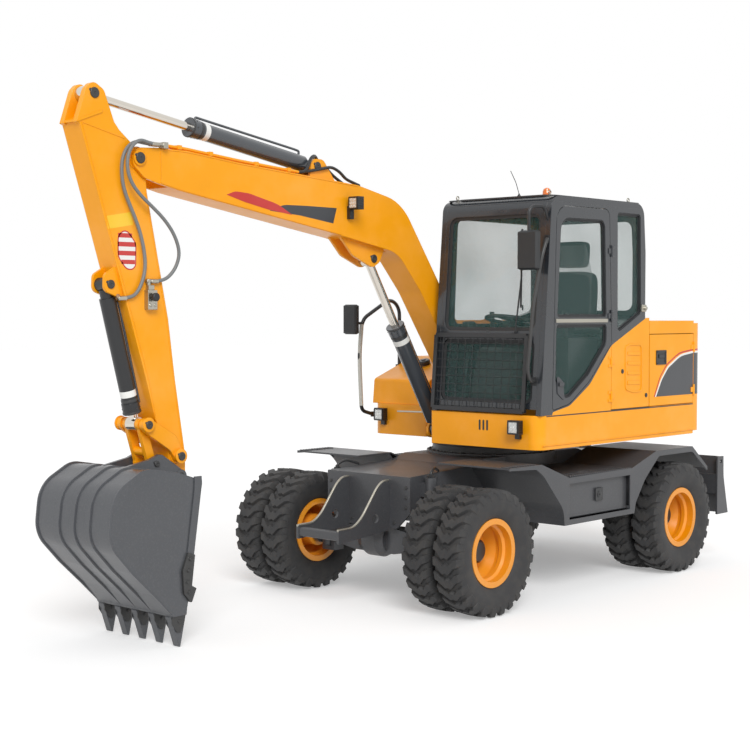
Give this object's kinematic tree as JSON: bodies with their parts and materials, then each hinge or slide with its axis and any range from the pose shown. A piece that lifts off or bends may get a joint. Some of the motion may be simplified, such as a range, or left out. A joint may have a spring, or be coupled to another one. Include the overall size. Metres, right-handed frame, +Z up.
{
  "type": "wheeled excavator",
  "caption": "Wheeled excavator: slewing upper body with cab, boom, arm and bucket on a chassis with twin wheels, steered front axle and rear blade.",
  "frame": {"origin": "on the ground under the middle of the whole machine's box, midway between the left and right wheels", "axes": "+X forwards, towards the bucket; +Y to the machine's left, the cab's side; +Z up"},
  "size_m": [5.715, 2.14, 3.4122],
  "materials": {
    "tyres_front_left": "matte",
    "tyres_front_right": "matte",
    "tyres_rear_left": "matte",
    "tyres_rear_right": "matte",
    "rims_front_left": "gloss enamel",
    "rims_front_right": "gloss enamel",
    "rims_rear_left": "gloss enamel",
    "rims_rear_right": "gloss enamel",
    "front_axle": "satin enamel",
    "rear_axle": "satin enamel",
    "knuckle_left": "satin enamel",
    "knuckle_right": "satin enamel",
    "tie_rod": "satin enamel",
    "chassis_frame": "satin enamel",
    "nose_bracket": "satin enamel",
    "side_boxes": "satin enamel",
    "side_box_door_left": "satin enamel",
    "side_box_door_right": "satin enamel",
    "slew_ring": "satin enamel",
    "driveline": "satin enamel",
    "blade": "satin enamel",
    "blade_arms": "satin enamel",
    "blade_links": "satin enamel",
    "blade_cylinder_barrel": "satin enamel",
    "blade_cylinder_rod": "polished",
    "upper_frame": "gloss enamel",
    "counterweight": "gloss enamel",
    "right_housing": "gloss enamel",
    "hood": "gloss enamel",
    "hood_lid": "gloss enamel",
    "bay_door": "gloss enamel",
    "engine": "rough",
    "cab_roof": "satin enamel",
    "cab_left": "satin enamel",
    "cab_right": "satin enamel",
    "cab_front": "satin enamel",
    "cab_rear": "satin enamel",
    "cab_door": "satin enamel",
    "door_glass": "clear",
    "cab_glass": "clear",
    "side_panel": "gloss enamel",
    "service_door": "gloss enamel",
    "seat": "matte",
    "controls": "matte",
    "front_guard": "satin enamel",
    "body_lamps": "matte",
    "mirrors": "matte",
    "boom": "gloss enamel",
    "boom_lamp": "matte",
    "boom_cylinder_barrel": "satin enamel",
    "boom_cylinder_rod": "polished",
    "arm_cylinder_barrel": "satin enamel",
    "arm_cylinder_rod": "polished",
    "arm": "gloss enamel",
    "bucket_cylinder_barrel": "satin enamel",
    "bucket_cylinder_rod": "polished",
    "rocker": "gloss enamel",
    "push_link": "gloss enamel",
    "bucket": "satin enamel"
  },
  "bodies": {
    "chassis": {"chassis_frame": "chassis_frame", "nose_bracket": "nose_bracket", "side_boxes": "side_boxes", "slew_ring": "slew_ring", "front_axle": "front_axle", "rear_axle": "rear_axle", "driveline": "driveline"},
    "side_box_door_left": {"side_box_door_left": "side_box_door_left"},
    "side_box_door_right": {"side_box_door_right": "side_box_door_right"},
    "steer_left": {"knuckle_left": "knuckle_left"},
    "steer_right": {"knuckle_right": "knuckle_right"},
    "tie_rod": {"tie_rod": "tie_rod"},
    "wheel_front_left": {"tyres_front_left": "tyres_front_left", "rims_front_left": "rims_front_left"},
    "wheel_front_right": {"tyres_front_right": "tyres_front_right", "rims_front_right": "rims_front_right"},
    "wheel_rear_left": {"tyres_rear_left": "tyres_rear_left", "rims_rear_left": "rims_rear_left"},
    "wheel_rear_right": {"tyres_rear_right": "tyres_rear_right", "rims_rear_right": "rims_rear_right"},
    "blade_arms": {"blade_arms": "blade_arms"},
    "blade_links": {"blade_links": "blade_links"},
    "blade": {"blade": "blade"},
    "blade_cylinder_barrel": {"blade_cylinder_barrel": "blade_cylinder_barrel"},
    "blade_cylinder_rod": {"blade_cylinder_rod": "blade_cylinder_rod"},
    "upper": {"upper_frame": "upper_frame", "counterweight": "counterweight", "right_housing": "right_housing", "hood": "hood", "engine": "engine", "cab_roof": "cab_roof", "cab_left": "cab_left", "cab_right": "cab_right", "cab_front": "cab_front", "cab_rear": "cab_rear", "cab_glass": "cab_glass", "side_panel": "side_panel", "seat": "seat", "controls": "controls", "front_guard": "front_guard", "body_lamps": "body_lamps", "mirrors": "mirrors"},
    "cab_door": {"cab_door": "cab_door", "door_glass": "door_glass"},
    "service_door": {"service_door": "service_door"},
    "bay_door": {"bay_door": "bay_door"},
    "hood_lid": {"hood_lid": "hood_lid"},
    "boom": {"boom": "boom", "boom_lamp": "boom_lamp"},
    "boom_cylinder_barrel": {"boom_cylinder_barrel": "boom_cylinder_barrel"},
    "boom_cylinder_rod": {"boom_cylinder_rod": "boom_cylinder_rod"},
    "arm_cylinder_barrel": {"arm_cylinder_barrel": "arm_cylinder_barrel"},
    "arm_cylinder_rod": {"arm_cylinder_rod": "arm_cylinder_rod"},
    "arm": {"arm": "arm"},
    "bucket_cylinder_barrel": {"bucket_cylinder_barrel": "bucket_cylinder_barrel"},
    "bucket_cylinder_rod": {"bucket_cylinder_rod": "bucket_cylinder_rod"},
    "rocker": {"rocker": "rocker"},
    "push_link": {"push_link": "push_link"},
    "bucket": {"bucket": "bucket"}
  },
  "joints": [
    {"name": "steer_left", "type": "hinge", "parent": "chassis", "child": "steer_left", "pos_m": [0.326, 0.5, 0.4325], "axis": [0, 0, 1], "range_deg": [-22, 22]},
    {"name": "steer_right", "type": "hinge", "parent": "chassis", "child": "steer_right", "pos_m": [0.326, -0.5, 0.4325], "axis": [0, 0, 1], "range_deg": [-22, 22]},
    {"name": "tie_rod_slide", "type": "slide", "parent": "chassis", "child": "tie_rod", "axis": [0, 1, 0], "range_m": [-0.08, 0.08]},
    {"name": "wheel_front_left_spin", "type": "hinge", "parent": "steer_left", "child": "wheel_front_left", "pos_m": [0.326, 0.8175, 0.4325], "axis": [0, 1, 0], "continuous": true},
    {"name": "wheel_front_right_spin", "type": "hinge", "parent": "steer_right", "child": "wheel_front_right", "pos_m": [0.326, -0.8175, 0.4325], "axis": [0, 1, 0], "continuous": true},
    {"name": "wheel_rear_left_spin", "type": "hinge", "parent": "chassis", "child": "wheel_rear_left", "pos_m": [-2.074, 0.8175, 0.4325], "axis": [0, 1, 0], "continuous": true},
    {"name": "wheel_rear_right_spin", "type": "hinge", "parent": "chassis", "child": "wheel_rear_right", "pos_m": [-2.074, -0.8175, 0.4325], "axis": [0, 1, 0], "continuous": true},
    {"name": "slew", "type": "hinge", "parent": "chassis", "child": "upper", "pos_m": [-0.974, 0, 1.075], "axis": [0, 0, 1], "continuous": true},
    {"name": "side_box_door_left_hinge", "type": "hinge", "parent": "chassis", "child": "side_box_door_left", "pos_m": [-0.97, 0.98, 0.577], "axis": [-1, 0, 0], "range_deg": [0, 80]},
    {"name": "side_box_door_right_hinge", "type": "hinge", "parent": "chassis", "child": "side_box_door_right", "pos_m": [-0.97, -0.98, 0.577], "axis": [1, 0, 0], "range_deg": [0, 80]},
    {"name": "blade_lift", "type": "hinge", "parent": "chassis", "child": "blade_arms", "pos_m": [-2.304, 0, 0.47], "axis": [0, -1, 0], "range_deg": [0, 62]},
    {"name": "blade_level", "type": "hinge", "parent": "blade_arms", "child": "blade", "pos_m": [-2.624, 0, 0.65], "axis": [0, -1, 0], "range_deg": [-63, 1]},
    {"name": "blade_link_swing", "type": "hinge", "parent": "chassis", "child": "blade_links", "pos_m": [-2.304, 0, 0.685], "axis": [0, -1, 0], "range_deg": [-1, 63]},
    {"name": "blade_cylinder_swing", "type": "hinge", "parent": "chassis", "child": "blade_cylinder_barrel", "pos_m": [-2.302, 0, 0.85], "axis": [0, 1, 0], "range_deg": [-17.95, 1]},
    {"name": "blade_cylinder_stroke", "type": "slide", "parent": "blade_cylinder_barrel", "child": "blade_cylinder_rod", "axis": [-0.6406, 0, -0.7679], "range_m": [-0.002, 0.33956]},
    {"name": "boom_lift", "type": "hinge", "parent": "upper", "child": "boom", "pos_m": [-0.934, -0.2, 1.43], "axis": [0, -1, 0], "range_deg": [-48, 32]},
    {"name": "boom_cylinder_swing", "type": "hinge", "parent": "upper", "child": "boom_cylinder_barrel", "pos_m": [-0.569, -0.2, 1.15], "axis": [0, 1, 0], "range_deg": [-33.44, 49.66]},
    {"name": "boom_cylinder_stroke", "type": "slide", "parent": "boom_cylinder_barrel", "child": "boom_cylinder_rod", "axis": [0.5315, 0, 0.8471], "range_m": [-0.35528, 0.23752]},
    {"name": "arm_swing", "type": "hinge", "parent": "boom", "child": "arm", "pos_m": [2.416, -0.2, 2.988], "axis": [0, 1, 0], "range_deg": [-85, 25]},
    {"name": "arm_cylinder_swing", "type": "hinge", "parent": "boom", "child": "arm_cylinder_barrel", "pos_m": [0.816, -0.2, 3.055], "axis": [0, 1, 0], "range_deg": [-10.25, 3.72]},
    {"name": "arm_cylinder_stroke", "type": "slide", "parent": "arm_cylinder_barrel", "child": "arm_cylinder_rod", "axis": [0.9882, 0, 0.1533], "range_m": [-0.63829, 0.18914]},
    {"name": "bucket_curl", "type": "hinge", "parent": "arm", "child": "bucket", "pos_m": [2.104, -0.2, 1.013], "axis": [0, 1, 0], "range_deg": [-5, 145]},
    {"name": "rocker_swing", "type": "hinge", "parent": "arm", "child": "rocker", "pos_m": [2.118, -0.2, 1.143], "axis": [0, 1, 0], "range_deg": [-4.72, 109]},
    {"name": "push_link_swing", "type": "hinge", "parent": "rocker", "child": "push_link", "pos_m": [2.377, -0.2, 1.354], "axis": [0, 1, 0], "range_deg": [-44.78, 2.51]},
    {"name": "bucket_cylinder_swing", "type": "hinge", "parent": "arm", "child": "bucket_cylinder_barrel", "pos_m": [2.604, -0.2, 2.216], "axis": [0, 1, 0], "range_deg": [-5.01, 1.14]},
    {"name": "bucket_cylinder_stroke", "type": "slide", "parent": "bucket_cylinder_barrel", "child": "bucket_cylinder_rod", "axis": [-0.2547, 0, -0.967], "range_m": [-0.02045, 0.53697]},
    {"name": "cab_door_hinge", "type": "hinge", "parent": "upper", "child": "cab_door", "pos_m": [-1.166, 0.976, 2], "axis": [0, 0, 1], "range_deg": [0, 170]},
    {"name": "service_door_hinge", "type": "hinge", "parent": "upper", "child": "service_door", "pos_m": [-1.174, 0.974, 1.7], "axis": [0, 0, 1], "range_deg": [-75, 0]},
    {"name": "bay_door_hinge", "type": "hinge", "parent": "upper", "child": "bay_door", "pos_m": [-2.364, 0.974, 1.65], "axis": [0, 0, 1], "range_deg": [0, 100]},
    {"name": "hood_lid_hinge", "type": "hinge", "parent": "upper", "child": "hood_lid", "pos_m": [-1.709, 0, 1.984], "axis": [0, 1, 0], "range_deg": [0, 55]}
  ],
  "couplings": [
    {"joint": "steer_right", "follows": "steer_left", "ratio": 1},
    {"joint": "tie_rod_slide", "follows": "steer_left", "m_per_rad": -0.16},
    {"joint": "blade_level", "follows": "blade_lift", "ratio": -1},
    {"joint": "blade_link_swing", "follows": "blade_lift", "ratio": 1},
    {"joint": "blade_cylinder_swing", "follows": "blade_lift", "ratio": -0.27335},
    {"joint": "blade_cylinder_stroke", "follows": "blade_lift", "m_per_rad": 0.31195},
    {"joint": "boom_cylinder_swing", "follows": "boom_lift", "ratio": -1.0138},
    {"joint": "boom_cylinder_stroke", "follows": "boom_lift", "m_per_rad": 0.4217},
    {"joint": "arm_cylinder_swing", "follows": "arm_swing", "ratio": 0.1088},
    {"joint": "arm_cylinder_stroke", "follows": "arm_swing", "m_per_rad": 0.4289},
    {"joint": "rocker_swing", "follows": "bucket_curl", "ratio": 0.7448},
    {"joint": "push_link_swing", "follows": "bucket_curl", "ratio": -0.3019},
    {"joint": "bucket_cylinder_swing", "follows": "bucket_curl", "ratio": -0.02765},
    {"joint": "bucket_cylinder_stroke", "follows": "bucket_curl", "m_per_rad": 0.21139}
  ]
}
